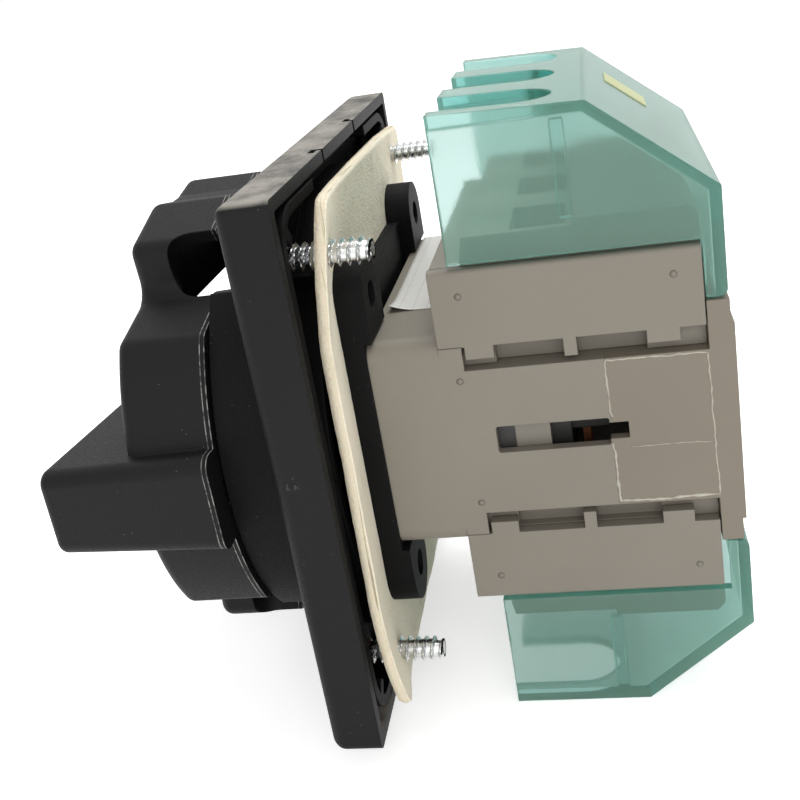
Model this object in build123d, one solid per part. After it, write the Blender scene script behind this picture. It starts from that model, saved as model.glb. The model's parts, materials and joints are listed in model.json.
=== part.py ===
from build123d import *
import os
from math import atan2, ceil, cos, radians, sin, sqrt, tan

# Panel-mounted rotary switch disconnector, three poles, 90 mm front plate. Millimetres.
# +Y runs along the shaft from the handle to the terminals, +X is to the right seen from the
# handle, +Z is up. The origin is on the shaft axis, on the plane of the front plate's rear rim.

# Clearances
FIT = 0.08               # turning shaft in its bore, on the radius
RUN = 0.3                # round everything else that moves
SEAT = 0.1               # between fixed pieces that fit into each other

# Front plate: masking frame and the carrier plate inside it
PLATE = 90.0
PLATE_DEPTH = 8.2
PLATE_WALL = 2.0
PLATE_CORNER_R = 1.2
PLATE_EDGE_R = 2.2
CAVITY_CORNER_R = 0.6
TAB_HALF = 12.5          # pry tab between the two slits in the top wall
TAB_SLIT = 1.1
TAB_SLIT_DEPTH = 1.9
CARRIER_GAP = 0.7
CARRIER_CORNER_R = 7.5
CARRIER_WEB = 1.6
CARRIER_RIB = 1.7
POCKET_HALF = 21.0       # recess in the carrier's top rim, under the pry tab
POCKET_DEPTH = 3.6

# Padlocking collar on the carrier, and the hub inside it
COLLAR_R = 39.5
COLLAR_FRONT = 17.5
CHANNEL_HALF = 27.8      # shackle channels at the top and the bottom of the collar
CHANNEL_FLOOR = 15.0
HUB_R = 6.5
HUB_WALL = 2.4

# Screws and their patterns
PANEL_PITCH = 68.0
PANEL_NECK_R = 1.7
PANEL_SHANK_R = 2.1      # the crests of the coarse thread
PANEL_HEAD_R = 4.2
PANEL_TIP = 10.3
PANEL_TIP_CHAMFER = 0.7
PANEL_BOSS_R = 4.6
PANEL_BOSS_END = 3.0     # the bosses stop this far in front of the rim, where the thread starts
FRAME_PITCH = 48.0
FRAME_SHANK_R = 1.95
FRAME_HEAD_R = 3.6
FRAME_HOLE_R = 2.25
FRAME_BOSS_WALL = 1.2
FRAME_TIP_GAP = 0.6
HEAD_DEPTH = 1.5

# Foam gasket
GASKET = 80.0
GASKET_T = 1.7
GASKET_CORNER_R = 4.0
GASKET_RISE = 2.6        # how far its upper and lower edges have bowed off the plate
GASKET_HOLE_R = 5.2
GASKET_SCREW_R = 3.4

# Mounting frame behind the gasket
FRAME_BAR = 24.0
FRAME_T = 3.5
FRAME_EAR_R = 6.0
FRAME_EAR_PAD = 1.2
FRAME_RAIL_T = 2.3
FRAME_BORE_GAP = 0.25

# Switch body
BODY_HALF = FRAME_PITCH / 2 + FRAME_EAR_R - RUN
NOSE_TOP = 17.55
NOSE_END = 16.3
NOSE_EDGE_R = 3.0
STEP_TOP = 16.0
STEP_END = 19.8
CORE_TOP = 12.2
JOINT_Y = 40.5           # parting line between front and rear housing
FLANGE_Y = 55.5
FLANGE_TOP = 19.6
FLANGE_REAR = 58.7
BODY_REAR = 59.2
HOUSING_WALL = 1.7
WINDOW = (23.2, 40.3, -1.85, 2.6)
WINDOW_R = 0.4
WINDOW_TAIL = (43.1, -0.9, 1.8)

# Terminal blocks, side plates and poles
SIDE_T = 1.9
POLE_ROOM = 9.7          # from the middle of an outer pole to the body's side
POLE_PITCH = BODY_HALF - POLE_ROOM
BLOCK_HALF = BODY_HALF - SIDE_T - RUN
BLOCK_FRONT = 16.5
BLOCK_TOP = 32.4
BLOCK_STEP_Y = 38.2
BLOCK_STEP = 1.0
BLOCK_LEDGE = (21.1, 21.9)   # the block's front slopes up between these depths
BLOCK_REAR_CUT = (1.2, 1.4)
PRONG_RECESS = 1.6
FUNNEL = (12.0, 28.9, 36.9)
CAGE_Z = (20.8, 28.0)
CAGE_Y = (27.6, 42.2)
CAGE_HALF = 5.3
CAGE_WALL = 1.4
CAGE_CHAMFER = 1.0
SCREW_Z = 24.4
SCREW_ACCESS_R = 3.9
CLAMP_SCREW_R = 2.0
CLAMP_HEAD_R = 3.4
CLAMP_HEAD_T = 2.4
CLAMP_HEAD_OUT = 6.0     # from the cage's rear to the underside of the screw's head
CLAMP_SLOT = (0.8, 4.8, 1.2)
SIDE_TOP = 28.0
SIDE_LOW = 16.0
SIDE_Y = (16.3, 55.3)
SIDE_EDGE_R = 0.8
PRONGS = ((20.3, 24.6, 14.0), (34.9, 36.8, 13.2), (46.9, 51.6, 14.0))

# Clear covers
COVER_HALF = BODY_HALF - 2 * SEAT
COVER_WALL = 1.6
COVER_FRONT = 19.5
COVER_REAR = 58.6
COVER_TOP = 49.9
COVER_FRONT_LIFT = 0.7   # the top is this much higher at its front edge
COVER_CHAMFER = (41.5, 36.0)
COVER_EDGE = 28.7
COVER_LEG = 3.0
COVER_FOOT = 20.0
COVER_FOOT_R = 1.2
COVER_RIB = (1.2, 1.8)   # guide rib on each side wall, its height and its width along Y
STICKER = (9.0, 8.0, -6.0, 8.0)
SLOT_W = 12.0
SLOT_END = 36.9
LOWER_COVER_BACK = 0.8   # the lower cover sits a little further back, and its top lower
LOWER_COVER_DROP = 0.9

# Knob
KNOB_FRONT = 32.3
KNOB_RIM = 17.8
KNOB_WALL = 2.5
KNOB_EDGE_R = 2.0
LOBE_R = 40.6
LOBE_ANGLE = 35.3
VALLEY_R = 34.6
VALLEY_ANGLES = (49.0, 53.0)
CREST_RADII = (41.0, 39.8)
CREST_ANGLES = (58.6, 77.3)
NOTCH_R = 37.6
NOTCH_ANGLE = 87.1
OUTLINE_R = 2.6
ARCH_ANGLE = 56.3
ARCH_HALF = 4.2
ARCH_REACH = 25.8
ARCH_IN = 8.0            # the arch is cut from this far inside the valley's radius
BAR_HALF = 44.3
BAR_FRONT = 45.5
BAR_T = 8.1              # half its thickness at the ends, at the rim
BAR_WAIST = 4.6          # and at the middle
BAR_DRAFT = 0.8          # how much thinner each side is at the front
BAR_END_DRAFT = 0.6
BAR_CORNER_R = 2.4
BAR_EDGE_R = 1.5
FRONT_WINDOW = (24.0, 9.4, 20.5)
FRONT_WINDOW_R = 4.5

# Shaft, rotor and carriage
SHAFT = 6.0
SHAFT_Y = (-40.0, 11.0)
SHAFT_CHAMFER = 0.5
RING_T = 1.2
JOURNAL_R = 5.0
FLANGE_R = 9.0
ROTOR_Y = (2.4, 7.5, 11.6, 31.0)
LEAF_IN = 0.8
LEAF_T = 0.5
LEAF_FOOT = 2.0
LEAD = 24.0              # the carriage moves this far for one turn of the rotor
SCREW_SIDE = 8.0
SCREW_FACET = 0.3
SCREW_START = 20.5
NECK_R = 3.9
CARRIAGE_Y = (21.8, 34.4)
CARRIAGE_TOP = 8.4
NUT_END = 26.8
NUT_RELIEF = 32.2       # blind bore behind the nut, for the end of the screw
FLAG_Y = (25.9, 31.3)
FLAG_T = 2.2
FLAG_HALF = 4.0
POST_T = 1.4
POST_REACH = 4.2
BRIDGE_T = 1.2
BRIDGE_HALF = 8.2
BRIDGE_W = 5.0
BRIDGE_Y = 36.0
CONTACT_W = 6.0
STRIP_T = 1.2
STRIP_Y = 38.1
CONTACT_Y = 44.2
CONTACT_TIP = (1.7, 0.7)
BRIDGE_TIP_SUNK = 0.2
TIP_Z = (4.4, 25.6)
SPRING_WIRE = 0.5
SPRING_R = 2.0
SPRING_SEAT = 1.2
LABEL_IN = 1.7           # from the body's left side to the label
LABEL_W = 43.0
LABEL_Y = (6.7, 16.0)
LABEL_T = 0.15

POLES = [-POLE_PITCH, 0.0, POLE_PITCH]
CORNERS = [(sx, sz) for sx in (-1, 1) for sz in (-1, 1)]
INNER_FRONT = PLATE_DEPTH - PLATE_WALL
CARRIER_HALF = PLATE / 2 - PLATE_WALL - CARRIER_GAP
CARRIER_FRONT = INNER_FRONT - SEAT
FRAME_FRONT = GASKET_T + SEAT
FRAME_REAR = FRAME_FRONT + FRAME_T
GASKET_FLAT = FRAME_PITCH / 2 + FRAME_EAR_R + RUN
CAVITY_TOP = CORE_TOP - HOUSING_WALL
CAVITY_HALF = BODY_HALF - HOUSING_WALL


def at_y(y):
    """Plane at depth y whose own x and y are the object's X and Z."""
    return Plane(origin=(0, y, 0), x_dir=(1, 0, 0), z_dir=(0, -1, 0))


def prism(sketch, y0, y1):
    """Extrudes a front-view outline from depth y0 to y1."""
    return extrude(at_y(y1) * sketch, y1 - y0)


def side_prism(sketch, x0, x1):
    """Extrudes a side-view outline (Y, Z) from x0 to x1."""
    return extrude(Plane.YZ.offset(x0) * sketch, x1 - x0)


def block(x0, x1, y0, y1, z0, z1):
    size = (x1 - x0, y1 - y0, z1 - z0)
    return Pos((x0 + x1) / 2, (y0 + y1) / 2, (z0 + z1) / 2) * Box(*size)


def rod(r, y0, y1, x=0.0, z=0.0):
    """Round bar along Y."""
    return prism(Pos(x, z) * Circle(r), y0, y1)


def square(half, r, y0, y1):
    return prism(RectangleRounded(2 * half, 2 * half, r), y0, y1)


def polar(r, degrees):
    return (r * cos(radians(degrees)), r * sin(radians(degrees)))


def front_edges(part, y):
    """The edges of a piece that lie wholly at depth y."""
    return part.edges().filter_by_position(Axis.Y, y - 0.01, y + 0.01)


def pattern(pitch, make):
    """One copy of a piece at each corner of a square of the given pitch."""
    return [make(sx * pitch / 2, sz * pitch / 2) for sx, sz in CORNERS]


def masking_frame():
    half = PLATE / 2
    shell = square(half, PLATE_CORNER_R, -PLATE_DEPTH, 0)
    shell = fillet(front_edges(shell, -PLATE_DEPTH), PLATE_EDGE_R)
    shell -= square(half - PLATE_WALL, CAVITY_CORNER_R, -INNER_FRONT, 1)
    shell -= rod(COLLAR_R + RUN, -PLATE_DEPTH - 1, 0)
    top = half - PLATE_WALL - 1
    for side in (-1, 1):
        slit = side * TAB_HALF
        hook = side * (TAB_HALF + 2 * TAB_SLIT)
        shell -= block(slit - TAB_SLIT / 2, slit + TAB_SLIT / 2, -TAB_SLIT_DEPTH, 1, top, half + 1)
        shell -= block(min(slit, hook), max(slit, hook), -TAB_SLIT_DEPTH, TAB_SLIT - TAB_SLIT_DEPTH,
                       top, half + 1)
    return shell


def collar_outline():
    outline = Circle(COLLAR_R)
    for side in (-1, 1):
        outline -= Pos(0, side * (CHANNEL_FLOOR + COLLAR_R)) * Rectangle(2 * CHANNEL_HALF, 2 * COLLAR_R)
    return outline


def carrier_plate():
    """Flat web with ribs and bosses at the back and the padlocking collar at the front."""
    plate = square(CARRIER_HALF, CARRIER_CORNER_R, -CARRIER_FRONT, -SEAT)
    floor = CARRIER_WEB - CARRIER_FRONT
    pocket_half = CARRIER_HALF - CARRIER_RIB
    inner = RectangleRounded(2 * pocket_half, 2 * pocket_half, CARRIER_CORNER_R - CARRIER_RIB)
    ribs = Circle(COLLAR_R) - Circle(COLLAR_R - CARRIER_RIB)
    ribs += Circle(HUB_R + HUB_WALL)
    for boss in pattern(FRAME_PITCH, lambda x, z: Pos(x, z) * Circle(FRAME_HEAD_R + FRAME_BOSS_WALL)):
        ribs += boss
    for degrees in (0, 45, 90, 135):
        ribs += Rot(0, 0, degrees) * Rectangle(2 * sqrt(2) * CARRIER_HALF, CARRIER_RIB)
    pockets = inner - ribs
    for clear in pattern(PANEL_PITCH, lambda x, z: Pos(x, z) * Circle(PANEL_BOSS_R)):
        pockets += clear
    plate -= prism(pockets, floor, 1)
    plate -= block(-POCKET_HALF, POCKET_HALF, floor, 1, CARRIER_HALF - POCKET_DEPTH, CARRIER_HALF + 1)

    plate += prism(collar_outline(), -COLLAR_FRONT, -CARRIER_FRONT)
    plate += rod(HUB_R + HUB_WALL, -CARRIER_FRONT, -SEAT - RING_T - RUN)
    plate -= rod(HUB_R + HUB_WALL, -SEAT - RING_T - RUN, 1)
    plate -= rod(HUB_R + FIT, -COLLAR_FRONT - 1, 1)
    head_seat = HEAD_DEPTH - CARRIER_FRONT
    for boss in pattern(PANEL_PITCH, lambda x, z: rod(PANEL_BOSS_R, floor, -PANEL_BOSS_END, x, z)):
        plate += boss
    screws = ((PANEL_PITCH, PANEL_NECK_R, PANEL_HEAD_R), (FRAME_PITCH, FRAME_SHANK_R, FRAME_HEAD_R))
    for pitch, shank_r, head_r in screws:
        for hole in pattern(pitch, lambda x, z: rod(shank_r + SEAT, -CARRIER_FRONT - 1, 1, x, z)):
            plate -= hole
        for hole in pattern(pitch, lambda x, z: rod(head_r + SEAT, -CARRIER_FRONT - 1, head_seat, x, z)):
            plate -= hole
    return plate


def panel_screw(x, z):
    """Head sunk in the carrier, plain neck through its boss, then the thread's outer envelope."""
    thread = rod(PANEL_SHANK_R, -PANEL_BOSS_END, PANEL_TIP, x, z)
    thread = chamfer(front_edges(thread, PANEL_TIP), PANEL_TIP_CHAMFER)
    neck = rod(PANEL_NECK_R, -CARRIER_FRONT, -PANEL_BOSS_END, x, z)
    return thread + neck + rod(PANEL_HEAD_R, -CARRIER_FRONT, HEAD_DEPTH - CARRIER_FRONT, x, z)


def frame_screw(x, z):
    shank = rod(FRAME_SHANK_R, -CARRIER_FRONT, FRAME_REAR - FRAME_TIP_GAP, x, z)
    return shank + rod(FRAME_HEAD_R, -CARRIER_FRONT, HEAD_DEPTH - CARRIER_FRONT, x, z)


def bowed_face(y):
    """Side-view line of one face of the gasket, y behind the plate, from bottom to top."""
    half = GASKET / 2
    return [(y + GASKET_RISE, -half), (y, -GASKET_FLAT), (y, GASKET_FLAT), (y + GASKET_RISE, half)]


def panel_gasket():
    outline = Polyline(*bowed_face(0), *reversed(bowed_face(GASKET_T)), close=True)
    sheet = side_prism(make_face(outline), -GASKET / 2, GASKET / 2)
    sheet &= square(GASKET / 2, GASKET_CORNER_R, -1, GASKET_RISE + GASKET_T + 1)
    sheet -= rod(GASKET_HOLE_R, -1, GASKET_T + 1)
    for hole in pattern(PANEL_PITCH, lambda x, z: rod(GASKET_SCREW_R, -1, PANEL_TIP, x, z)):
        sheet -= hole
    for hole in pattern(FRAME_PITCH, lambda x, z: rod(FRAME_SHANK_R + RUN, -1, PANEL_TIP, x, z)):
        sheet -= hole
    return sheet


def mounting_frame():
    ear = FRAME_PITCH / 2
    outer = ear + FRAME_EAR_R
    plate = prism(Rectangle(2 * outer, 2 * FRAME_BAR), FRAME_FRONT, FRAME_REAR)
    between = Rectangle(2 * (ear - FRAME_EAR_R), 4 * outer)
    plate -= prism(between, FRAME_FRONT + FRAME_RAIL_T, FRAME_REAR + 1)
    plate -= rod(JOURNAL_R + FRAME_BORE_GAP, FRAME_FRONT - 1, FRAME_REAR + 1)
    for sx, sz in CORNERS:
        pad = Pos(sx * ear, sz * ear) * Circle(FRAME_EAR_R)
        pad += Pos(sx * ear, sz * (ear - FRAME_EAR_R / 2)) * Rectangle(2 * FRAME_EAR_R, FRAME_EAR_R)
        plate += prism(pad, FRAME_FRONT, FRAME_REAR)
        raised = pad & Pos(0, sz * (NOSE_TOP + SEAT + outer)) * Rectangle(4 * outer, 2 * outer)
        plate += prism(raised, FRAME_REAR, FRAME_REAR + FRAME_EAR_PAD)
        plate -= rod(FRAME_HOLE_R, FRAME_FRONT - 1, FRAME_REAR + 3, sx * ear, sz * ear)
    return plate


def housing_slots(y0, y1):
    """Where the contact strips pass through the housing's top and bottom walls."""
    half = CONTACT_W / 2 + SEAT
    return [block(x - half, x + half, y0, y1, -CORE_TOP - 1, CORE_TOP + 1) for x in POLES]


def side_windows():
    """The window in each side wall, with its narrower rear end."""
    y0, y1, z0, z1 = WINDOW
    tail, low, high = WINDOW_TAIL
    shape = Pos((y0 + y1) / 2, (z0 + z1) / 2) * RectangleRounded(y1 - y0, z1 - z0, WINDOW_R)
    start = y1 - 2 * WINDOW_R
    shape += Pos((start + tail) / 2, (low + high) / 2) * Rectangle(tail - start, high - low)
    right = side_prism(shape, CAVITY_HALF - 1, BODY_HALF + 1)
    return [right, mirror(right, Plane.YZ)]


def front_housing():
    start = FRAME_REAR
    nose = block(-BODY_HALF, BODY_HALF, start, NOSE_END, -NOSE_TOP, NOSE_TOP)
    nose = fillet(nose.edges().filter_by(Axis.Y), NOSE_EDGE_R)
    step = block(-BODY_HALF, BODY_HALF, NOSE_END, STEP_END, -STEP_TOP, STEP_TOP)
    seat = BLOCK_HALF + SEAT
    step -= block(-seat, seat, BLOCK_FRONT - SEAT, STEP_END + 1, CORE_TOP, STEP_TOP + 1)
    step -= block(-seat, seat, BLOCK_FRONT - SEAT, STEP_END + 1, -STEP_TOP - 1, -CORE_TOP)
    body = nose + step + block(-BODY_HALF, BODY_HALF, STEP_END, JOINT_Y, -CORE_TOP, CORE_TOP)
    body -= block(-CAVITY_HALF, CAVITY_HALF, start + HOUSING_WALL, JOINT_Y + 1, -CAVITY_TOP, CAVITY_TOP)
    body -= rod(JOURNAL_R + FIT, start - 1, start + HOUSING_WALL + 1)
    for window in side_windows():
        body -= window
    return body


def rear_housing():
    core = block(-BODY_HALF, BODY_HALF, JOINT_Y, FLANGE_Y, -CORE_TOP, CORE_TOP)
    flange = block(-BODY_HALF, BODY_HALF, FLANGE_Y, FLANGE_REAR, -FLANGE_TOP, FLANGE_TOP)
    raised = block(-BODY_HALF, BODY_HALF, FLANGE_REAR, BODY_REAR, -STEP_TOP, STEP_TOP)
    body = core + flange + raised
    body -= block(-CAVITY_HALF, CAVITY_HALF, JOINT_Y - 1, FLANGE_Y - HOUSING_WALL, -CAVITY_TOP, CAVITY_TOP)
    for slot in housing_slots(CONTACT_Y - SEAT, CONTACT_Y + STRIP_T + SEAT):
        body -= slot
    for window in side_windows():
        body -= window
    return body


def terminal_block(side):
    """Moulded block of three terminals; side is 1 for the upper one, -1 for the lower."""
    rear = FLANGE_Y - SEAT
    base = CORE_TOP + SEAT
    ridge = BLOCK_TOP + BLOCK_STEP
    cut_y, cut_z = BLOCK_REAR_CUT
    profile = Polyline(
        (BLOCK_FRONT, base), (BLOCK_FRONT, SIDE_TOP), (BLOCK_LEDGE[0], SIDE_TOP),
        (BLOCK_LEDGE[1], BLOCK_TOP), (BLOCK_STEP_Y, BLOCK_TOP), (BLOCK_STEP_Y, ridge),
        (rear - cut_y, ridge), (rear, ridge - cut_z), (rear, base), close=True)
    body = side_prism(make_face(profile), -BLOCK_HALF, BLOCK_HALF)
    half = FUNNEL[0] / 2
    cage = CAGE_HALF + SEAT
    strip = CONTACT_W / 2 + SEAT
    cage_y = (CAGE_Y[0] - SEAT, CAGE_Y[1] + SEAT)
    cage_z = (CAGE_Z[0] - SEAT, CAGE_Z[1] + SEAT)
    strip_y = STRIP_Y - SEAT
    upright = (strip_y, STRIP_Y + STRIP_T + SEAT, CORE_TOP, TIP_Z[1] + SEAT)
    flat = (strip_y, CONTACT_Y + STRIP_T + SEAT, CORE_TOP, CORE_TOP + 2 * SEAT + STRIP_T + RUN)
    for x in POLES:
        body -= block(x - half, x + half, FUNNEL[1], FUNNEL[2], CAGE_Z[0], ridge)
        body -= block(x - cage, x + cage, *cage_y, *cage_z)
        body -= rod(SCREW_ACCESS_R, CAGE_Y[1], rear + 1, x, SCREW_Z)
        body -= block(x - strip, x + strip, *upright)
        body -= block(x - strip, x + strip, *flat)
    for y0, y1 in ((PRONGS[0][1], PRONGS[1][0]), (PRONGS[1][1], PRONGS[2][0])):
        recess = block(BLOCK_HALF - PRONG_RECESS, BLOCK_HALF + 1, y0, y1, CORE_TOP, SIDE_LOW)
        body -= recess
        body -= mirror(recess, Plane.YZ)
    return body if side > 0 else mirror(body, Plane.XY)


def area(y0, y1, z0, z1):
    """Rectangle in a side view."""
    return Pos((y0 + y1) / 2, (z0 + z1) / 2) * Rectangle(y1 - y0, z1 - z0)


def side_plate(x_side, z_side):
    """Snap-on plate beside a terminal block, with three prongs towards the switch's middle."""
    outline = area(*SIDE_Y, SIDE_LOW, SIDE_TOP)
    for start, end, reach in PRONGS:
        outline += area(start, end, reach, SIDE_LOW + 1)
    outline -= area(SIDE_Y[0] - 1, STEP_END + SEAT, CORE_TOP, STEP_TOP + SEAT)
    plate = side_prism(outline, BODY_HALF - SIDE_T, BODY_HALF)
    top = plate.edges().filter_by(Axis.Y).sort_by(Axis.Z)[-2:].sort_by(Axis.X)[-1]
    plate = fillet(top, SIDE_EDGE_R)
    if x_side < 0:
        plate = mirror(plate, Plane.YZ)
    return plate if z_side > 0 else mirror(plate, Plane.XY)


def contact_strips(side):
    """Copper strips from the clamps to the fixed contact tips, one for each pole."""
    bend = CORE_TOP + 2 * SEAT
    strips = []
    for x in POLES:
        x0, x1 = x - CONTACT_W / 2, x + CONTACT_W / 2
        strip = block(x0, x1, STRIP_Y, STRIP_Y + STRIP_T, bend, TIP_Z[1])
        strip += block(x0, x1, STRIP_Y, CONTACT_Y + STRIP_T, bend, bend + STRIP_T)
        strip += block(x0, x1, CONTACT_Y, CONTACT_Y + STRIP_T, TIP_Z[0], bend + STRIP_T)
        strip += rod(CONTACT_TIP[0], CONTACT_Y - CONTACT_TIP[1], CONTACT_Y, x, (TIP_Z[0] + BRIDGE_HALF) / 2)
        strips.append(strip if side > 0 else mirror(strip, Plane.XY))
    return strips


def clamp_cages(side):
    """Cage clamps, open along Z for the cable."""
    y0, y1 = CAGE_Y
    cages = []
    for x in POLES:
        cage = block(x - CAGE_HALF, x + CAGE_HALF, y0, y1, CAGE_Z[0], CAGE_Z[1])
        cage = chamfer(cage.edges().filter_by(Axis.Z), CAGE_CHAMFER)
        inside = CAGE_HALF - CAGE_WALL
        cage -= block(x - inside, x + inside, y0 + CAGE_WALL, y1 - 2 * CAGE_WALL,
                      CAGE_Z[0] - 1, CAGE_Z[1] + 1)
        cage -= rod(CLAMP_SCREW_R + SEAT, y0 + CAGE_WALL, y1 + 1, x, SCREW_Z)
        cages.append(cage if side > 0 else mirror(cage, Plane.XY))
    return cages


def clamp_screws(side):
    """Slotted screws that draw the cages up against the strips."""
    screws = []
    head = CAGE_Y[1] + CLAMP_HEAD_OUT
    end = head + CLAMP_HEAD_T
    width, length, depth = CLAMP_SLOT
    for x in POLES:
        screw = rod(CLAMP_SCREW_R, STRIP_Y + STRIP_T, head, x, SCREW_Z)
        screw += rod(CLAMP_HEAD_R, head, end, x, SCREW_Z)
        screw -= block(x - width / 2, x + width / 2, end - depth, end + 1,
                       SCREW_Z - length / 2, SCREW_Z + length / 2)
        screws.append(screw if side > 0 else mirror(screw, Plane.XY))
    return screws


def rating_label():
    start = LABEL_IN - BODY_HALF
    return block(start, start + LABEL_W, *LABEL_Y, NOSE_TOP, NOSE_TOP + LABEL_T)


def cover_outline(side, inset):
    """Side-view outline of a cover, from its front edge round to its foot, moved in by inset."""
    chamfer_y, chamfer_z = COVER_CHAMFER
    slope = atan2(COVER_TOP - chamfer_z, COVER_REAR - chamfer_y)
    slope_in = inset * tan(slope / 2)
    rear_in = inset * tan((radians(90) - slope) / 2)
    drop = 0 if side > 0 else LOWER_COVER_DROP
    lift = COVER_FRONT_LIFT if side > 0 and not inset else 0
    front = COVER_FRONT - (1 if inset else 0)
    top = COVER_TOP - drop
    return [
        (front, top + lift - inset), (chamfer_y - slope_in, top - inset),
        (COVER_REAR - inset, chamfer_z - drop - rear_in), (COVER_REAR - inset, COVER_FOOT),
    ]


def cover(side):
    """Clear cover over one row of terminals, open at the front and towards the block."""
    leg = COVER_REAR - COVER_LEG
    outer = Polyline(*cover_outline(side, 0), (leg, COVER_FOOT), (leg, COVER_EDGE),
                     (COVER_FRONT, COVER_EDGE), close=True)
    shell = side_prism(make_face(outer), -COVER_HALF, COVER_HALF)
    foot = shell.edges().filter_by(Axis.X).sort_by(Axis.Z)[:1]
    shell = fillet(foot, COVER_FOOT_R)
    inner = Polyline(*cover_outline(side, COVER_WALL), (COVER_REAR - COVER_WALL, 0),
                     (COVER_FRONT - 1, 0), close=True)
    hollow = COVER_HALF - COVER_WALL
    shell -= side_prism(make_face(inner), -hollow, hollow)
    radius = SLOT_W / 2
    for x in POLES:
        shell -= block(x - radius, x + radius, COVER_FRONT - 1, SLOT_END - radius,
                       COVER_TOP - 3, COVER_TOP + 3)
        shell -= Pos(x, SLOT_END - radius, COVER_TOP) * Cylinder(radius, 6)
    height, width = COVER_RIB
    low = BLOCK_TOP + BLOCK_STEP + RUN
    high = COVER_TOP - COVER_WALL - LOWER_COVER_DROP + RUN
    rib = block(hollow - height, hollow + RUN, BLOCK_STEP_Y - width, BLOCK_STEP_Y, low, high)
    shell += rib
    shell += mirror(rib, Plane.YZ)
    if side > 0:
        return shell
    return Pos(0, LOWER_COVER_BACK, 0) * mirror(shell, Plane.XY)


def cover_sticker():
    """Blank sticker on the upper cover's slope."""
    y0, z0 = COVER_CHAMFER[0], COVER_TOP
    run = Vector(0, COVER_REAR - y0, COVER_CHAMFER[1] - z0).normalized()
    normal = Vector(0, -run.Z, run.Y)
    width, height, x, along = STICKER
    middle = Vector(x, y0, z0) + run * along
    return extrude(Plane(origin=middle, x_dir=(1, 0, 0), z_dir=normal) * Rectangle(width, height), LABEL_T)


def knob_outline(inset=0.0):
    """Six-lobed front view of the knob's skirt, or of the hollow inside it."""
    quarter = [
        (LOBE_R, LOBE_ANGLE), (VALLEY_R, VALLEY_ANGLES[0]), (VALLEY_R, VALLEY_ANGLES[1]),
        *zip(CREST_RADII, CREST_ANGLES), (NOTCH_R, NOTCH_ANGLE),
    ]
    mirrored = [(r, 180 - a) for r, a in reversed(quarter)]
    half = quarter + mirrored
    ring = half + [(r, a + 180) for r, a in half]
    edges = []
    for index, (r, a) in enumerate(ring):
        next_r, next_a = ring[(index + 1) % len(ring)]
        if next_a < a:
            next_a += 360
        start, end = polar(r, a), polar(next_r, next_a)
        same = abs(r - next_r) < 0.001
        edges.append(ThreePointArc(start, polar(r, (a + next_a) / 2), end) if same else Line(start, end))
    face = make_face(Wire(edges))
    if inset:
        face = offset(face, -inset, kind=Kind.INTERSECTION)
    return fillet(face.vertices(), OUTLINE_R)


def bar_outline(end, thickness, waist):
    """Front view of the waisted bar."""
    return Polyline((end, thickness), (0, waist), (-end, thickness), (-end, -thickness), (0, -waist),
                    (end, -thickness), close=True)


def grip_bar():
    """Bar of the knob, waisted at the middle and drafted towards the front."""
    rear = at_y(-KNOB_RIM) * make_face(bar_outline(BAR_HALF, BAR_T, BAR_WAIST))
    front = at_y(-BAR_FRONT) * make_face(
        bar_outline(BAR_HALF - BAR_END_DRAFT, BAR_T - BAR_DRAFT, BAR_WAIST - BAR_DRAFT / 2))
    bar = loft([rear, front], ruled=True)
    along = bar.edges().filter_by(lambda edge: edge.bounding_box().size.Y > (BAR_FRONT - KNOB_RIM) / 2)
    by_reach = along.sort_by(lambda edge: abs(edge.center().X))
    bar = fillet(by_reach[2:], BAR_CORNER_R)
    return fillet(front_edges(bar, -BAR_FRONT), BAR_EDGE_R)


def knob():
    """Skirt with shackle arches, and the grip bar across it, moulded in one."""
    skirt = prism(knob_outline(), -KNOB_FRONT, -KNOB_RIM)
    skirt = fillet(front_edges(skirt, -KNOB_FRONT), KNOB_EDGE_R)
    skirt -= prism(knob_outline(KNOB_WALL), KNOB_WALL - KNOB_FRONT, 0)
    body = skirt + grip_bar()
    reach = BAR_HALF - 2 * KNOB_WALL
    inner = BAR_WAIST - KNOB_WALL
    body -= block(-reach, reach, KNOB_WALL - KNOB_FRONT, 0, -inner, inner)
    half, low, high = FRONT_WINDOW
    window = Pos(0, (low + high) / 2) * RectangleRounded(2 * half, high - low, FRONT_WINDOW_R)
    window = prism(window, -KNOB_FRONT - 1, -KNOB_RIM)
    body -= window
    body -= mirror(window, Plane.XY)
    centre = ARCH_REACH - ARCH_HALF
    start, end = VALLEY_R - ARCH_IN, CREST_RADII[0] + ARCH_IN
    arch = block(start, end, -centre, 0, -ARCH_HALF, ARCH_HALF)
    arch += Pos((start + end) / 2, -centre, 0) * Rot(0, 90, 0) * Cylinder(ARCH_HALF, end - start)
    for angle in (ARCH_ANGLE, 180 - ARCH_ANGLE, 180 + ARCH_ANGLE, -ARCH_ANGLE):
        body -= Rot(0, -angle, 0) * arch
    body += rod(HUB_R, KNOB_WALL / 2 - BAR_FRONT, -SEAT - RING_T)
    socket = SHAFT / 2 + SEAT
    return body - block(-socket, socket, SHAFT_Y[0], 1, -socket, socket)


def retaining_ring():
    """Thin ring on the hub's end that keeps the knob in the carrier."""
    ring = rod(HUB_R + HUB_WALL - RUN, -SEAT - RING_T, -SEAT)
    return ring - rod(SHAFT / sqrt(2) + RUN, -SEAT - RING_T - 1, 1)


def drive_shaft():
    half = SHAFT / 2
    bar = block(-half, half, *SHAFT_Y, -half, half)
    return chamfer(bar.edges().filter_by(Axis.Y), SHAFT_CHAMFER)


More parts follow.
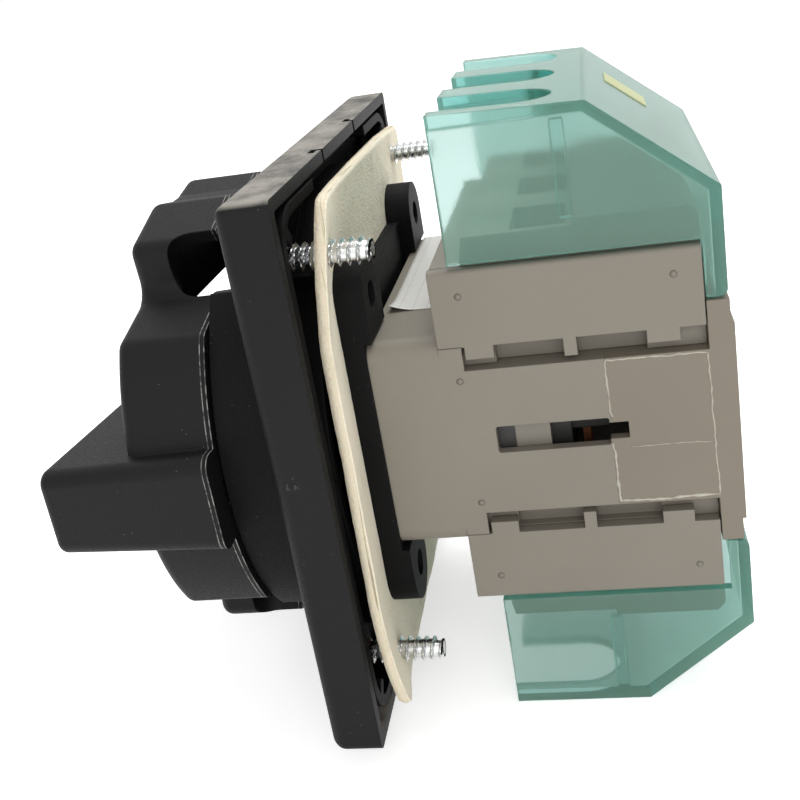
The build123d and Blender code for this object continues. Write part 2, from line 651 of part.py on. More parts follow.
def screw_section(side, y0, y1):
    """Square bar twisted left-handed with the rotor's lead, in short flat facets."""
    steps = ceil((y1 - y0) / SCREW_FACET)

    def corner(step, quarter):
        y = y0 + (y1 - y0) * step / steps
        x, z = polar(side / sqrt(2), 360 * (y - ROTOR_Y[2]) / LEAD + 45 + 90 * quarter)
        return (x, y, z)

    def facet(*corners):
        return make_face(Polyline(*corners, close=True)).face()

    facets = [facet(*(corner(step, quarter) for quarter in range(4))) for step in (0, steps)]
    for step in range(steps):
        for quarter in range(4):
            a, b = corner(step, quarter), corner(step, quarter + 1)
            c, d = corner(step + 1, quarter + 1), corner(step + 1, quarter)
            facets += [facet(a, b, c), facet(a, c, d)]
    return Solid(Shell(facets))


def cam_rotor():
    """Journal, click flange and the coarse screw that drives the carriage."""
    y0, y1, y2, y3 = ROTOR_Y
    body = rod(JOURNAL_R, y0, y1) + rod(FLANGE_R, y1, y2)
    body += rod(NECK_R, y2, SCREW_START)
    body += screw_section(SCREW_SIDE, SCREW_START, y3)
    socket = SHAFT / 2 + SEAT
    body -= block(-socket, socket, y0 - 1, SHAFT_Y[1] + RUN, -socket, socket)
    return body


def contact_carriage():
    """Sliding bar with the rotor's nut in its middle and a seat for each pole's bridge."""
    y0, y1 = CARRIAGE_Y
    half = CAVITY_HALF - RUN
    body = block(-half, half, y0, y1, -CARRIAGE_TOP, CARRIAGE_TOP)
    body -= screw_section(SCREW_SIDE + 2 * RUN, y0 - 2, NUT_END)
    body -= rod(SCREW_SIDE / sqrt(2) + RUN, NUT_END - RUN, NUT_RELIEF)
    corner = block(half - FLAG_T, half + 1, FLAG_Y[0], y1 + 1, -CARRIAGE_TOP, CARRIAGE_TOP)
    body -= corner
    body -= mirror(corner, Plane.YZ)
    seat = BRIDGE_W / 2 + SEAT
    post_end = BRIDGE_Y + POST_REACH
    for x in POLES:
        for inner, outer in ((x - seat - POST_T, x - seat), (x + seat, x + seat + POST_T)):
            body += block(inner, outer, y1, post_end, -POST_T, POST_T)
        body += block(x - seat - POST_T / 2, x + seat + POST_T / 2, BRIDGE_Y + BRIDGE_T + SEAT,
                      post_end - POST_T, -POST_T, POST_T)
        body -= rod(SPRING_R + SPRING_WIRE + RUN, y1 - SPRING_SEAT, y1 + 1, x)
    return body


def position_flags():
    """One flag on each side of the carriage, seen through the body's window."""
    half = CAVITY_HALF - RUN
    right = block(half - FLAG_T, half, *FLAG_Y, -FLAG_HALF, FLAG_HALF)
    return [right, mirror(right, Plane.YZ)]


def contact_bridges():
    bridges = []
    rear = BRIDGE_Y + BRIDGE_T
    for x in POLES:
        bridge = block(x - BRIDGE_W / 2, x + BRIDGE_W / 2, BRIDGE_Y, rear, -BRIDGE_HALF, BRIDGE_HALF)
        for side in (-1, 1):
            tip = side * (TIP_Z[0] + BRIDGE_HALF) / 2
            bridge += rod(CONTACT_TIP[0], rear - BRIDGE_TIP_SUNK, rear, x, tip)
        bridges.append(bridge)
    return bridges


def contact_springs():
    """Short coil springs, as tubes of the coil's size, that press the bridges to the rear."""
    start = CARRIAGE_Y[1] - SPRING_SEAT
    outer, inner = SPRING_R + SPRING_WIRE, SPRING_R - SPRING_WIRE
    return [rod(outer, start, BRIDGE_Y, x) - rod(inner, start - 1, BRIDGE_Y + 1, x) for x in POLES]


def click_springs():
    """Leaf springs above and below the rotor's flange, each held by a foot on the cavity's wall."""
    y0, y1 = ROTOR_Y[1] + LEAF_IN, ROTOR_Y[2] - LEAF_IN
    low = FLANGE_R + RUN
    upper = block(-FLANGE_R, FLANGE_R, y0, y1, low, low + LEAF_T)
    upper += block(-FLANGE_R - LEAF_FOOT, -FLANGE_R, y0, y1, low, CAVITY_TOP)
    return [upper, mirror(upper, Plane.XY)]


def nodes():
    parts = {
        "masking_frame": masking_frame(),
        "carrier_plate": carrier_plate(),
        "panel_gasket": panel_gasket(),
        "panel_screws": pattern(PANEL_PITCH, panel_screw),
        "mounting_frame": mounting_frame(),
        "frame_screws": pattern(FRAME_PITCH, frame_screw),
        "front_housing": front_housing(),
        "rear_housing": rear_housing(),
        "rating_label": rating_label(),
        "click_springs": click_springs(),
        "knob": knob(),
        "retaining_ring": retaining_ring(),
        "drive_shaft": drive_shaft(),
        "cam_rotor": cam_rotor(),
        "contact_carriage": contact_carriage(),
        "position_flags": position_flags(),
        "contact_bridges": contact_bridges(),
        "contact_springs": contact_springs(),
        "cover_sticker": cover_sticker(),
    }
    for name, side in (("upper", 1), ("lower", -1)):
        parts[name + "_terminal_block"] = terminal_block(side)
        parts[name + "_contact_strips"] = contact_strips(side)
        parts[name + "_clamp_cages"] = clamp_cages(side)
        parts[name + "_clamp_screws"] = clamp_screws(side)
        parts[name + "_cover"] = cover(side)
        for hand, x_side in (("right", 1), ("left", -1)):
            parts[name + "_" + hand + "_side_plate"] = side_plate(x_side, side)
    return parts


def main():
    os.makedirs("parts", exist_ok=True)
    for name, shape in nodes().items():
        if isinstance(shape, list):
            shape = Compound(children=[solid for item in shape for solid in item.solids()])
        export_step(shape, "parts/" + name + ".step")


main()
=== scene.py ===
import json
import math
import bmesh
import bpy
from mathutils import Matrix, Vector, noise

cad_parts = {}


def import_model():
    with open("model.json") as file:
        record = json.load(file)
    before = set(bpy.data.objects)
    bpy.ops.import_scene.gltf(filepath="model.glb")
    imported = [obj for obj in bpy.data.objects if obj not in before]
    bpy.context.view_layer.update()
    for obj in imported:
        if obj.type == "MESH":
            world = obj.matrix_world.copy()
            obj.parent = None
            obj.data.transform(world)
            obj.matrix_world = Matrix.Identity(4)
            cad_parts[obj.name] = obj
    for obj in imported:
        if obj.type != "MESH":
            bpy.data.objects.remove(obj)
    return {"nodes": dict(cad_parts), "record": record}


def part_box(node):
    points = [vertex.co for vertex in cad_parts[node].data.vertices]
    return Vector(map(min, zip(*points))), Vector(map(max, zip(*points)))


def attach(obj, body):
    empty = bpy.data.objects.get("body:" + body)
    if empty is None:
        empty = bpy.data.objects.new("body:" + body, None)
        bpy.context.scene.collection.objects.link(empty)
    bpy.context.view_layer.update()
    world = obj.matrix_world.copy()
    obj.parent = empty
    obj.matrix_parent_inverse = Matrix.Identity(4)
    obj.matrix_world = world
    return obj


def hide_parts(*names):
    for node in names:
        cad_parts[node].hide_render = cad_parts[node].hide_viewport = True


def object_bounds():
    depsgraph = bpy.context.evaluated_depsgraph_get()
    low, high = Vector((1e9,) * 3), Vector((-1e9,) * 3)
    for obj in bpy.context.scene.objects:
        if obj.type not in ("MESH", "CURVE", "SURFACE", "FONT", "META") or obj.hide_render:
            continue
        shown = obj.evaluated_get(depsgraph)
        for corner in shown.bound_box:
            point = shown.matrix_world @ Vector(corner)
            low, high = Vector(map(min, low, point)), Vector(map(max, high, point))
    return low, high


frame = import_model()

# Dresses the panel-mounted switch disconnector. +Y runs from the handle to the terminals, +X is
# right from the front, +Z is up. Sizes are in millimetres and turned into metres by mm(), except
# for the label sheet and for places on a finish, which are in metres.
MM = 0.001
CAD_LOW, CAD_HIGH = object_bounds()

# Camera, fitted to the photograph
CAMERA_AT = (177.2, 43.3, 74.1)
CAMERA_RIGHT = (-0.1421, 0.9771, -0.1585)
CAMERA_UP = (-0.3628, 0.0975, 0.9267)
CAMERA_FORWARD = (-0.9210, -0.1892, -0.3406)
SENSOR = 36.0
LENS = 48.48
SHIFT_X = -0.0153
SHIFT_Y = -0.0869
NEAREST_SEEN = 0.01      # metres

# Light
WORLD_LEVEL = 0.62
KEY_AT = (-260.0, 180.0, 760.0)
KEY_SIZE = 520.0
KEY_POWER = 5.6
FILL_AT = (540.0, 110.0, 250.0)
FILL_SIZE = 420.0
FILL_POWER = 1.4
FLOOR_SIZE = 6000.0
FLOOR_GAP = 0.2          # below the object
FLOOR_GLOW = 0.55        # as a camera, glossy or transmission ray sees it
FLOOR_GLOW_ON_OBJECT = 0.2
FLOOR_TONES = ("f4f4f4", "f8f8f7")
FLOOR_MOTTLE = 6.0

# Plain mouldings: light and dark tone, roughness, grain scale and depth, and the edges' radius
MOULDINGS = {
    "flag_plastic": ("7b766b", "6f6a60", 0.45, 3000.0, 0.12, 0.25),
    "carriage_plastic": ("262522", "1c1b1a", 0.5, 2600.0, 0.25, 0.25),
    "grey_plastic": ("7d776c", "726c61", 0.5, 3400.0, 0.16, 0.22),
    "beige_plastic": ("797164", "6e6659", 0.48, 3400.0, 0.16, 0.22),
    "white_plastic": ("e6e3dc", "d6d2c9", 0.42, 3000.0, 0.12, 0.25),
    "flash": ("b9b4a6", "a9a496", 0.4, 2600.0, 0.2, 0.25),
}

# Black mouldings: light and dark tone, roughness, the dust's tone and the specular level. The
# carrier's tones and dust are darker: painted shade, for the pieces in the plate's shade.
BLACK_MOULDINGS = {
    "knob_plastic": ("0f0f10", "070709", 0.52, "6f6d6a", 0.2),
    "plate_plastic": ("0e0e0f", "060607", 0.54, "6f6d6a", 0.2),
    "carrier_painted_shade_plastic": ("0a0a0b", "040405", 0.6, "55534f", 0.12),
}
BLACK_GRAIN = (2600.0, 0.32, 0.35)       # its scale and depth, and the edges' radius

# All mouldings. Here and below a noise is given by scale, detail and roughness, a bump by strength
# and distance, and a coat by tone and share.
BLOTCHES = (38.0, 4.0, 0.6)
BLOTCH_SHARE = 0.9
GRAIN_DETAIL = (3.0, 0.65)
GRAIN_T = 0.0002
ROUGH_SPREAD = (-0.07, 0.09)
DUST_SPECKS = 900.0      # cells in a metre
DUST_PATCHES = (210.0, 2.0)
DUST_SHARE = 0.6

# Metals: light and dark tone, roughness and scale of the mottle
METALS = {
    "zinc": ("e4e5e4", "b4b6b7", 0.16, 900.0),
    "steel": ("b9bbbd", "8d9093", 0.3, 700.0),
    "copper": ("c98a63", "a9653f", 0.3, 500.0),
}
METAL_DETAIL = (3.0, 0.6)
METAL_FINER = 6          # the bumps against the mottle
METAL_SPREAD = 0.14
METAL_BUMP = (0.15, 0.0001)

# Nodes whose finish isn't that of their slot
OWN_FINISH = {
    "knob": "knob_plastic",
    "masking_frame": "plate_plastic",
    # painted shade: the carrier plate and mounting frame get a darker finish, as they lie in shade
    "carrier_plate": "carrier_painted_shade_plastic",
    "mounting_frame": "carrier_painted_shade_plastic",
    "position_flags": "flag_plastic",
    "contact_carriage": "carriage_plastic",
}

# The wall at the knob's rear rim, along Y: a burr and painted highlight, before it a dark step of
# painted shade, then a second burr and highlight
KNOB_RIM_Y = -0.0178
RIM_BURR_AND_HIGHLIGHT = (-0.00014, 0.00005)
RIM_STEP = (-0.0007, -0.0002)
SECOND_BURR_AND_HIGHLIGHT = (-0.00085, -0.00073)
BURR_AND_HIGHLIGHT_SOFT = 0.00004
STEP_SOFT = 0.00008
BURR_AND_HIGHLIGHT = ("aeada9", 0.7)
# near black; on the knob's rim it is painted shade in the step
HOLLOW_TONE = "020202"
STEP = (HOLLOW_TONE, 0.9)
KNOB_WALL = 0.6          # most that the normal of a wall has along the axis
RIM_TEAR = (520.0, 3.0, 0.7)

# Dust and a painted sheen on the plate's top, which is greyed where it faces up, and a scuff on
# its near side
TOP_DUST_AND_SHEEN = ("918d85", 0.9)
DUST_AND_SHEEN_FILM = (130.0, 6.0, 0.75)
NEAR_FACING = 0.7
SCUFF_Y = (-0.0064, -0.0042, 0.0004)     # low, high and softness
SCUFF_Z = (0.0027, 0.0037, 0.0003)
SCUFF_TEAR = (900.0, 4.0, 0.8)
SCUFF = ("4c4a47", 0.7)

# Clear covers
COVER_TONE = "f8fcfb"
COVER_IOR = 1.52
COVER_ROUGH = (0.08, 0.17)
COVER_EDGE = 0.45
COVER_GRAIN = (1500.0, 2.0)
COVER_CLOUDS = (60.0, 3.0)
COVER_BUMP = (0.06, 0.0001)
COVER_ABSORB = (0.12, 0.80, 0.79, 1.0)
COVER_DENSITY = 160.0
COVER_HAZE = 0.33        # share of the surface that scatters light
HAZE_TONES = ("80ad99", "96bba8")

# Label and sticker: tones, and the label's blank rules along Y and along X
PAPER_TONES = ("c2c1bd", "cfcdc9")
PAPER_FIBRE = (80.0, 3.0)
PAPER_GRAIN = (1800.0, 2.0)
PAPER_BUMP = (0.06, 0.0001)
RULE = ("77777a", 0.4)
RULES_Y = (0.0082, 0.0105, 0.0128, 0.0148)
RULES_X = (-0.012, 0.002)
RULE_WIDTH = 0.00012
RULE_SOFT = 0.00004
STICKER_TONES = ("a3a877", "b0b486")
STICKER_MOTTLE = (220.0, 3.0)
STICKER_GRAIN = (1500.0, 2.0)
STICKER_BUMP = (0.08, 0.0001)

# Label sheet
LABEL_CELLS = (60, 18)
LABEL_T = 0.0001
LABEL_GAP = 0.00002
LABEL_CURL = 0.0007
LABEL_CURL_REACH = (0.006, 0.004)        # from the corner, along X and Y
LABEL_CURL_START = 0.7

# Foam gasket
FOAM_TONES = ("e6dcc4", "f0e8d4")
FOAM_CELLS = 2100.0
FOAM_CELL_BUMP = (0.35, 0.0003)
FOAM_CLOUDS = (55.0, 4.0, 0.65)
FOAM_CLOUD_BUMP = (0.4, 0.0012)
GRUB = ("a79c80", 0.35)
GRUB_PATCHES = (240.0, 5.0, 0.7)
CUT = ("b9ad92", 0.5)
CUT_WALL = 0.75
SPLIT = ("81765b", 0.7)
SPLIT_LAYERS = (260.0, 3.0, 0.7, (0.12, 5.0, 0.12))      # the last is the stretch
GASKET_HALF = 40.8
GASKET_T = 1.7
GASKET_GAP = 0.06
GASKET_TURN = 3.2        # degrees, it lies askew on the plate
GASKET_CORNER = 2.0
GASKET_CELLS = 72
GASKET_PINCH = 0.22      # of both skins' edges, against the middle of the cut
GASKET_FLAT = 27.0       # the mounting frame holds it flat inside this square,
GASKET_NARROWER = 7.0    # which is less high by this towards the near and far edge
NEAR_LIFT = 1.4
FAR_LIFT = 0.3
SIDE_BEND = 1.6
TOP_LIFT = (1.5, 0.058, 1.2)             # at the middle, more per millimetre of X, and the bend
LOW_LIFT = (1.3, 0.025, 2.0)
LEAST_LIFT = 0.1
TOP_CORNER_EASE = 0.7    # share of the sides' lift that is gone at the top

# Unevenness: amount, scale and layer of the noise
GASKET_WAVE = (0.25, 0.09, 3.1)
GASKET_RAGGED = (0.12, 1.3, 2.0)
GASKET_UNEVEN = (0.05, 0.5, 5.0)
SEAM_WANDER = (0.16, 0.9, 3.0)
SEAM_UNEVEN = (0.9, 1.1, 7.0)            # of the half width

# Panel screws
SCREW_PITCH = 68.0
THREAD_PITCH = 1.38
THREAD_CREST = 2.1
THREAD_ROOT = 1.5
THREAD_FLANK = 0.24      # share of the pitch
THREAD_TAPER = 1.6
THREAD_TIP = 0.72        # the tip's radius against the full one
THREAD_ROWS = 10         # for each turn
THREAD_SIDES = 36
SCREW_HEAD = 4.2
SCREW_HEAD_T = 1.5
SCREW_HEAD_RIM = 0.5

# Pips left by the ejector pins, as (Y, Z) on the near and far sides
PIPS = ((20.5, 24.0), (51.3, 24.1), (18.9, 10.6), (19.3, -10.3), (20.7, -23.8), (51.8, -23.7))
PIP_R = 0.55
PIP_RISE = 0.08
PIP_SIDES = 16
PIP_PROFILE = ((PIP_R, -0.05), (PIP_R, 0.3), (0.7 * PIP_R, 0.85), (0.0, 1.0))  # share of the rise
SIDE_X = 29.7

# Beads of flash on the near side: half width, then the line as (Y, Z)
SEAMS = {
    "upper_seam_bead": (0.17, (
        (55.2, 11.8), (48.4, 11.8), (40.7, 11.9), (40.5, 11.0), (40.4, 9.8), (40.5, 8.0),
        (40.6, 6.0), (40.6, 3.6), (40.9, 2.7))),
    "lower_seam_bead": (0.24, (
        (40.6, -1.6), (40.6, -2.8), (40.7, -4.2), (40.7, -5.5), (40.7, -7.3), (40.7, -9.3),
        (40.8, -11.6), (44.3, -11.7), (48.1, -11.7), (52.6, -11.5), (55.6, -11.5))),
    "middle_seam_bead": (0.09, (
        (42.9, -2.5), (45.9, -2.5), (48.8, -2.4), (51.7, -2.4), (55.4, -2.6))),
    "rear_seam_bead": (0.15, (
        (55.2, 11.8), (55.3, 8.9), (55.4, 5.7), (55.3, 2.5), (55.4, -0.8), (55.4, -3.2),
        (55.5, -6.6), (55.6, -9.5), (55.6, -11.4))),
}
SEAM_STEP = 0.45
SEAM_PROFILE = ((-1, -0.04), (-0.5, 0.05), (0.5, 0.05), (1, -0.04))  # of the half width, and rise

BLACK = (0, 0, 0)
WHITE = (1, 1, 1)


def mm(*values):
    return Vector([v * MM for v in values])


def grey(value):
    return (value, value, value)


def linear(code):
    """A linear colour from a hexadecimal sRGB one."""
    out = []
    for i in (0, 2, 4):
        c = int(code[i:i + 2], 16) / 255
        out.append(c / 12.92 if c <= 0.04045 else ((c + 0.055) / 1.055) ** 2.4)
    return (*out, 1.0)


class Shader:
    """A node material with short calls for the nodes that the finishes share."""

    def __init__(self, name):
        self.material = bpy.data.materials.new(name)
        self.material.use_nodes = True
        self.nodes = self.material.node_tree.nodes
        self.links = self.material.node_tree.links
        self.bsdf = self.nodes["Principled BSDF"]
        self.coordinates = self.nodes.new("ShaderNodeTexCoord").outputs["Object"]

    def set(self, **values):
        for name, value in values.items():
            self.bsdf.inputs[name.replace("_", " ")].default_value = value

    def link(self, output, target):
        self.links.new(output, target)

    def drive(self, **outputs):
        """Links outputs to the surface's inputs of those names."""
        for name, output in outputs.items():
            self.link(output, self.bsdf.inputs[name.replace("_", " ")])

    def painted(self):
        """The base colour so far."""
        return self.bsdf.inputs["Base Color"].links[0].from_socket

    def noise(self, scale, detail=2.0, rough=0.5, stretch=None):
        node = self.nodes.new("ShaderNodeTexNoise")
        node.inputs["Scale"].default_value = scale
        node.inputs["Detail"].default_value = detail
        node.inputs["Roughness"].default_value = rough
        source = self.coordinates
        if stretch:
            mapping = self.nodes.new("ShaderNodeMapping")
            mapping.inputs["Scale"].default_value = stretch
            self.link(source, mapping.inputs["Vector"])
            source = mapping.outputs["Vector"]
        self.link(source, node.inputs["Vector"])
        return node.outputs["Fac"]

    def cells(self, scale):
        node = self.nodes.new("ShaderNodeTexVoronoi")
        node.inputs["Scale"].default_value = scale
        self.link(self.coordinates, node.inputs["Vector"])
        return node.outputs["Distance"]

    def ramp(self, value, low, high):
        """Turns a value into a colour between two stops, each a place and a colour."""
        node = self.nodes.new("ShaderNodeValToRGB")
        for element, (place, colour) in zip(node.color_ramp.elements, (low, high)):
            element.position = place
            element.color = (*colour, 1.0)
        self.link(value, node.inputs["Fac"])
        return node.outputs["Color"]

    def mix(self, factor, a, b):
        """Goes from colour a to colour b, each an output or a hexadecimal tone."""
        node = self.nodes.new("ShaderNodeMix")
        node.data_type = "RGBA"
        for name, value in (("Factor", factor), ("A", a), ("B", b)):
            value = linear(value) if isinstance(value, str) else value
            self._put(node.inputs[name], value)
        return node.outputs["Result"]

    def lay(self, colour, where, coat):
        """Lays a coat, given by tone and share, over a colour."""
        tone, share = coat
        return self.mix(self.times(where, share), colour, tone)

    def math(self, kind, a, b=0.0):
        node = self.nodes.new("ShaderNodeMath")
        node.operation = kind
        for socket, value in zip(node.inputs, (a, b)):
            self._put(socket, value)
        return node.outputs["Value"]

    def times(self, first, *others):
        for other in others:
            first = self.math("MULTIPLY", first, other)
        return first

    def axis(self, name):
        node = self.nodes.new("ShaderNodeSeparateXYZ")
        self.link(self.coordinates, node.inputs["Vector"])
        return node.outputs[name]

    def facing(self, name):
        """The part of the surface's own normal along X, Y or Z."""
        node = self.nodes.new("ShaderNodeSeparateXYZ")
        self.link(self.coordinates.node.outputs["Normal"], node.inputs["Vector"])
        return node.outputs[name]

    def wall(self, limit):
        """1 where the normal has less than the limit along Y, either way."""
        return self.math("LESS_THAN", self.math("ABSOLUTE", self.facing("Y")), limit)

    def band(self, value, low, high, soft):
        """1 between low and high, 0 outside, with soft edges."""
        rise = self.nodes.new("ShaderNodeMapRange")
        fall = self.nodes.new("ShaderNodeMapRange")
        for node, start, end in ((rise, low - soft, low + soft), (fall, high + soft, high - soft)):
            self.link(value, node.inputs["Value"])
            node.inputs["From Min"].default_value = start
            node.inputs["From Max"].default_value = end
        return self.times(rise.outputs["Result"], fall.outputs["Result"])

    def bevel(self, radius):
        node = self.nodes.new("ShaderNodeBevel")
        node.samples = 6
        node.inputs["Radius"].default_value = radius
        return node.outputs["Normal"]

    def bump(self, height, strength, distance, normal=None):
        node = self.nodes.new("ShaderNodeBump")
        node.inputs["Strength"].default_value = strength
        node.inputs["Distance"].default_value = distance
        self.link(height, node.inputs["Height"])
        if normal is not None:
            self.link(normal, node.inputs["Normal"])
        return node.outputs["Normal"]

    def _put(self, socket, value):
        if isinstance(value, (int, float, tuple)):
            socket.default_value = value
        else:
            self.link(value, socket)


def moulded(name, light, dark, rough, grain, grain_depth, edge, dust=None):
    """Moulded plastic: fine eroded grain, slow blotches, soft edges and, if asked, dust specks."""
    s = Shader(name)
    blotch = s.noise(*BLOTCHES)
    fine = s.noise(grain, *GRAIN_DETAIL)
    colour = s.mix(s.times(blotch, BLOTCH_SHARE), dark, light)
    if dust:
        near = s.ramp(s.cells(DUST_SPECKS), (0.05, WHITE), (0.10, BLACK))
        some = s.ramp(s.noise(*DUST_PATCHES), (0.56, BLACK), (0.62, WHITE))
        colour = s.lay(colour, s.times(near, some), (dust, DUST_SHARE))
    smooth, coarse = (grey(rough + spread) for spread in ROUGH_SPREAD)
    s.drive(Base_Color=colour, Roughness=s.ramp(fine, (0.3, smooth), (0.7, coarse)),
            Normal=s.bump(fine, grain_depth, GRAIN_T, s.bevel(edge * MM)))
    return s


def black_moulded(name):
    light, dark, rough, dust, specular = BLACK_MOULDINGS[name]
    s = moulded(name, light, dark, rough, *BLACK_GRAIN, dust)
    s.set(Specular_IOR_Level=specular)
    return s


def knob_plastic():
    """Black plastic, with pale torn burrs and painted highlights, and a dark step of painted
    shade, on the wall at the knob's rear rim.
    """
    s = black_moulded("knob_plastic")
    depth = s.axis("Y")
    wall = s.wall(KNOB_WALL)
    torn = s.ramp(s.noise(*RIM_TEAR), (0.40, grey(0.15)), (0.56, WHITE))
    at_rim, before_rim, step = (
        s.band(depth, KNOB_RIM_Y + low, KNOB_RIM_Y + high, soft) for (low, high), soft in
        ((RIM_BURR_AND_HIGHLIGHT, BURR_AND_HIGHLIGHT_SOFT), (SECOND_BURR_AND_HIGHLIGHT, BURR_AND_HIGHLIGHT_SOFT), (RIM_STEP, STEP_SOFT)))
    # the pale lines are burrs and painted highlight along the rim
    burr_and_highlight = s.times(s.math("MAXIMUM", at_rim, before_rim), torn, wall)
    # the dark step is painted shade, a near-black band on the rim's wall
    colour = s.lay(s.painted(), s.times(step, wall), STEP)
    s.drive(Base_Color=s.lay(colour, burr_and_highlight, BURR_AND_HIGHLIGHT))
    return s.material


def plate_plastic():
    """Black plastic, greyed on the top by dust and a painted sheen, and scuffed at one place on
    the near side.
    """
    s = black_moulded("plate_plastic")
    # painted sheen with dust: faces turned up are laid over with a pale grey
    top = s.ramp(s.facing("Z"), (0.5, BLACK), (0.95, WHITE))
    film = s.ramp(s.noise(*DUST_AND_SHEEN_FILM), (0.36, grey(0.2)), (0.62, WHITE))
    colour = s.lay(s.painted(), s.times(top, film), TOP_DUST_AND_SHEEN)
    near = s.math("GREATER_THAN", s.facing("X"), NEAR_FACING)
    spot = s.times(s.band(s.axis("Y"), *SCUFF_Y), s.band(s.axis("Z"), *SCUFF_Z), near)
    torn = s.noise(*SCUFF_TEAR)
    dark = s.times(spot, s.ramp(torn, (0.48, BLACK), (0.54, WHITE)))
    pale = s.times(spot, s.ramp(torn, (0.40, WHITE), (0.46, BLACK)))
    colour = s.mix(dark, colour, HOLLOW_TONE)
    s.drive(Base_Color=s.lay(colour, pale, SCUFF))
    return s.material


def clear_cover():
    """Turquoise polycarbonate: clear, frosted a little by its grain, deeper along its walls."""
    s = Shader("clear_cover")
    s.set(IOR=COVER_IOR, Transmission_Weight=1.0, Base_Color=linear(COVER_TONE))
    fine = s.noise(*COVER_GRAIN)
    slow = s.noise(*COVER_CLOUDS)
    smooth, frosted = COVER_ROUGH
    s.drive(Roughness=s.ramp(slow, (0.35, grey(smooth)), (0.7, grey(frosted))),
            Normal=s.bump(fine, *COVER_BUMP, s.bevel(COVER_EDGE * MM)))
    out = s.nodes["Material Output"]
    absorb = s.nodes.new("ShaderNodeVolumeAbsorption")
    absorb.inputs["Color"].default_value = COVER_ABSORB
    absorb.inputs["Density"].default_value = COVER_DENSITY
    s.link(absorb.outputs["Volume"], out.inputs["Volume"])
    haze = s.mix(slow, *HAZE_TONES)
    milky, cover = s.nodes.new("ShaderNodeMixShader"), s.nodes.new("ShaderNodeMixShader")
    for place, kind in ((1, "ShaderNodeBsdfTranslucent"), (2, "ShaderNodeBsdfDiffuse")):
        scatter = s.nodes.new(kind)
        s.link(haze, scatter.inputs["Color"])
        s.link(scatter.outputs["BSDF"], milky.inputs[place])
    cover.inputs["Fac"].default_value = COVER_HAZE
    s.link(s.bsdf.outputs["BSDF"], cover.inputs[1])
    s.link(milky.outputs["Shader"], cover.inputs[2])
    s.link(cover.outputs["Shader"], out.inputs["Surface"])
    return s.material


def foam():
    """Cream closed-cell foam, whose cut edges are grubby and split along the sheet."""
    s = Shader("foam")
    slow = s.noise(*FOAM_CLOUDS)
    grub = s.ramp(s.noise(*GRUB_PATCHES), (0.55, BLACK), (0.78, WHITE))
    cut = s.wall(CUT_WALL)
    split = s.times(s.ramp(s.noise(*SPLIT_LAYERS), (0.40, WHITE), (0.47, BLACK)), cut)
    colour = s.mix(slow, *FOAM_TONES)
    for where, coat in ((grub, GRUB), (cut, CUT), (split, SPLIT)):
        colour = s.lay(colour, where, coat)
    s.set(Roughness=0.82, Subsurface_Weight=0.12, Subsurface_Scale=0.0015)
    swell = s.bump(slow, *FOAM_CLOUD_BUMP)
    s.drive(Base_Color=colour, Normal=s.bump(s.cells(FOAM_CELLS), *FOAM_CELL_BUMP, swell))
    return s.material


def metal(name, light, dark, rough, scale):
    s = Shader(name)
    mottle = s.noise(scale, *METAL_DETAIL)
    s.set(Metallic=1.0)
    s.drive(Base_Color=s.mix(mottle, dark, light),
            Roughness=s.ramp(mottle, (0.3, grey(rough)), (0.7, grey(rough + METAL_SPREAD))),
            Normal=s.bump(s.noise(scale * METAL_FINER), *METAL_BUMP))
    return s.material


def label_paper():
    """White self-adhesive label with faint blank rules."""
    s = Shader("label_paper")
    rules = None
    for axis, places in (("Y", RULES_Y), ("X", RULES_X)):
        along = s.axis(axis)
        for place in places:
            line = s.band(along, place, place + RULE_WIDTH, RULE_SOFT)
            rules = line if rules is None else s.math("MAXIMUM", rules, line)
    paper = s.mix(s.noise(*PAPER_FIBRE), *PAPER_TONES)
    s.set(Roughness=0.42)
    s.drive(Base_Color=s.lay(paper, rules, RULE),
            Normal=s.bump(s.noise(*PAPER_GRAIN), *PAPER_BUMP))
    return s.material


def sticker():
    s = Shader("sticker")
    s.set(Roughness=0.45)
    s.drive(Base_Color=s.mix(s.noise(*STICKER_MOTTLE), *STICKER_TONES),
            Normal=s.bump(s.noise(*STICKER_GRAIN), *STICKER_BUMP))
    return s.material


FINISHES = {name: moulded(name, *values).material for name, values in MOULDINGS.items()}
FINISHES.update({name: metal(name, *values) for name, values in METALS.items()})
FINISHES.update({
    "knob_plastic": knob_plastic(),
    "plate_plastic": plate_plastic(),
    "carrier_painted_shade_plastic": black_moulded("carrier_painted_shade_plastic").material,
    "clear_plastic": clear_cover(),
    "foam": foam(),
    "label": label_paper(),
    "sticker": sticker(),
})


def dress_nodes():
    """Gives each CAD node its own finish or that of its material slot."""
    for part in frame["record"]["subparts"]:
        node = frame["nodes"][part["node"]]
        finish = FINISHES[OWN_FINISH.get(part["node"], part["material_slot"])]
        if not node.material_slots:
            node.data.materials.append(finish)
        for place in node.material_slots:
            place.material = finish


def new_object(name, data):
    obj = bpy.data.objects.new(name, data)
    bpy.context.scene.collection.objects.link(obj)
    return obj


def new_piece(name, vertices, faces, finish, body, smooth=True, replaces=None):
    """A mesh piece in metres that rides on a body."""
    mesh = bpy.data.meshes.new(name)
    mesh.from_pydata([tuple(v) for v in vertices], [], faces)
    built = bmesh.new()
    built.from_mesh(mesh)
    bmesh.ops.remove_doubles(built, verts=built.verts, dist=1e-7)
    bmesh.ops.dissolve_degenerate(built, edges=built.edges, dist=1e-8)
    bmesh.ops.recalc_face_normals(built, faces=built.faces)
    built.to_mesh(mesh)
    built.free()
    for face in mesh.polygons:
        face.use_smooth = smooth
    piece = new_object(name, mesh)
    mesh.materials.append(FINISHES[finish])
    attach(piece, body)
    if replaces:
        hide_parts(replaces)
    return piece


